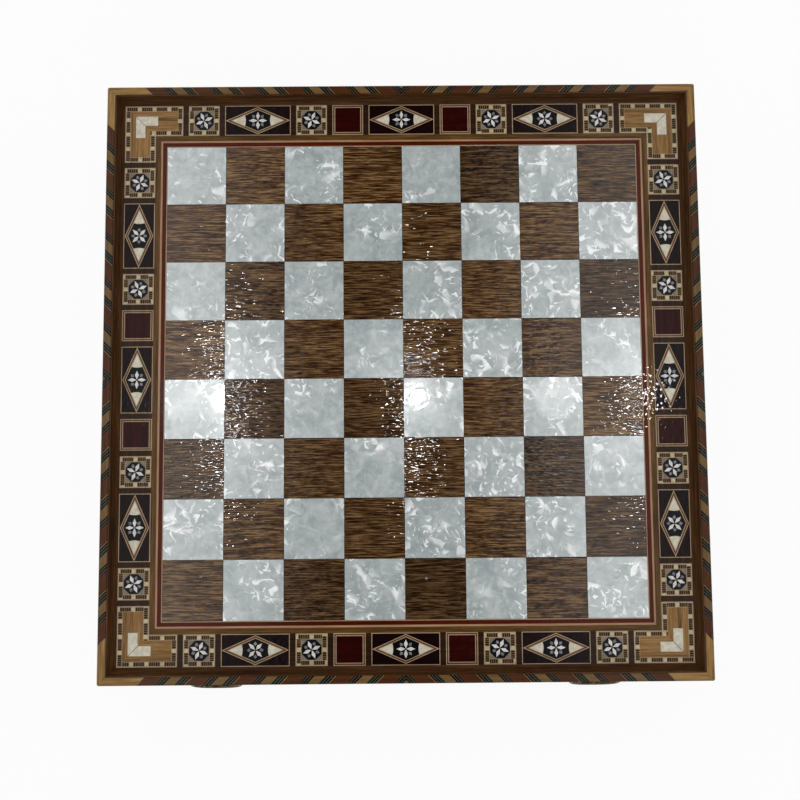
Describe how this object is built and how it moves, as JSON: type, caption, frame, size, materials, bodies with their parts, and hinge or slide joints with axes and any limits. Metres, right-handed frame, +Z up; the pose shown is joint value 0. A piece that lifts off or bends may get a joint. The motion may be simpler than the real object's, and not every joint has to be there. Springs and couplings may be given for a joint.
{
  "type": "chess box",
  "caption": "Square inlaid chessboard with a raised striped rim and a star and lozenge mosaic border, on a low wooden case with opposed drawers for the chessmen.",
  "frame": {"origin": "centre of the underside, on the plane the feet stand on", "axes": "+Z up, front drawer towards -Y, +X to the right seen from the front"},
  "size_m": [0.4, 0.4196, 0.0852],
  "materials": {
    "plywood": "raw sanded",
    "pearl": "pearlescent, clear gloss lacquer",
    "walnut": "clear gloss lacquer",
    "pale_wood": "clear gloss lacquer",
    "red_wood": "stained, clear gloss lacquer",
    "pear_wood": "clear gloss lacquer",
    "gold_walnut": "clear gloss lacquer",
    "dark_walnut": "clear gloss lacquer",
    "maroon_wood": "stained, clear gloss lacquer",
    "ladder_mosaic": "clear gloss lacquer",
    "grey_green": "stained, clear gloss lacquer",
    "ebony": "clear gloss lacquer",
    "white_shell": "polished",
    "grey_shell": "polished",
    "bone": "polished",
    "striped_wood": "clear gloss lacquer",
    "maple": "clear gloss lacquer",
    "beech": "satin lacquer",
    "felt": "short pile",
    "bronze": "antique, dark patina",
    "rubber": "matt"
  },
  "bodies": {
    "case": {"band_spacers": "dark_walnut", "base_panel": "plywood", "brown_lines": "dark_walnut", "centre_partition": "beech", "corner_blocks": "maple", "corner_chevrons": "bone", "corner_fields": "gold_walnut", "corner_ladders": "ladder_mosaic", "feet": "rubber", "field_line": "pale_wood", "front_top_rail": "walnut", "grey_petals": "grey_shell", "inner_band": "gold_walnut", "left_wall": "walnut", "lozenge_centres": "ebony", "lozenge_grounds": "maroon_wood", "lozenge_tips": "bone", "outer_line": "pear_wood", "pale_lines": "pale_wood", "pearl_squares": "pearl", "rear_top_rail": "walnut", "red_line": "red_wood", "red_tiles": "red_wood", "rhombus_lines": "pale_wood", "right_wall": "walnut", "rim_moulding": "walnut", "star_grounds": "grey_green", "star_ladders": "ladder_mosaic", "star_octagons": "ebony", "striped_edging": "striped_wood", "top_core": "plywood", "walnut_squares": "walnut", "white_petals": "white_shell"},
    "front_drawer": {"front_drawer_back": "beech", "front_drawer_bottom": "plywood", "front_drawer_cross_dividers": "beech", "front_drawer_front": "walnut", "front_drawer_left": "beech", "front_drawer_lining": "felt", "front_drawer_long_divider": "beech", "front_drawer_right": "beech", "front_pull_posts": "bronze"},
    "rear_drawer": {"rear_drawer_back": "beech", "rear_drawer_bottom": "plywood", "rear_drawer_cross_dividers": "beech", "rear_drawer_front": "walnut", "rear_drawer_left": "beech", "rear_drawer_lining": "felt", "rear_drawer_long_divider": "beech", "rear_drawer_right": "beech", "rear_pull_posts": "bronze"},
    "front_left_bail": {"front_left_bail": "bronze"},
    "front_right_bail": {"front_right_bail": "bronze"},
    "rear_left_bail": {"rear_left_bail": "bronze"},
    "rear_right_bail": {"rear_right_bail": "bronze"}
  },
  "joints": [
    {"name": "front_drawer_slide", "type": "slide", "parent": "case", "child": "front_drawer", "axis": [0, -1, 0], "range_m": [0, 0.15]},
    {"name": "rear_drawer_slide", "type": "slide", "parent": "case", "child": "rear_drawer", "axis": [0, 1, 0], "range_m": [0, 0.15]},
    {"name": "front_left_bail_swing", "type": "hinge", "parent": "front_drawer", "child": "front_left_bail", "pos_m": [-0.13, -0.2044, 0.041], "axis": [-1, 0, 0], "range_deg": [0, 80]},
    {"name": "front_right_bail_swing", "type": "hinge", "parent": "front_drawer", "child": "front_right_bail", "pos_m": [0.13, -0.2044, 0.041], "axis": [-1, 0, 0], "range_deg": [0, 80]},
    {"name": "rear_left_bail_swing", "type": "hinge", "parent": "rear_drawer", "child": "rear_left_bail", "pos_m": [0.13, 0.2044, 0.041], "axis": [1, 0, 0], "range_deg": [0, 80]},
    {"name": "rear_right_bail_swing", "type": "hinge", "parent": "rear_drawer", "child": "rear_right_bail", "pos_m": [-0.13, 0.2044, 0.041], "axis": [1, 0, 0], "range_deg": [0, 80]}
  ]
}
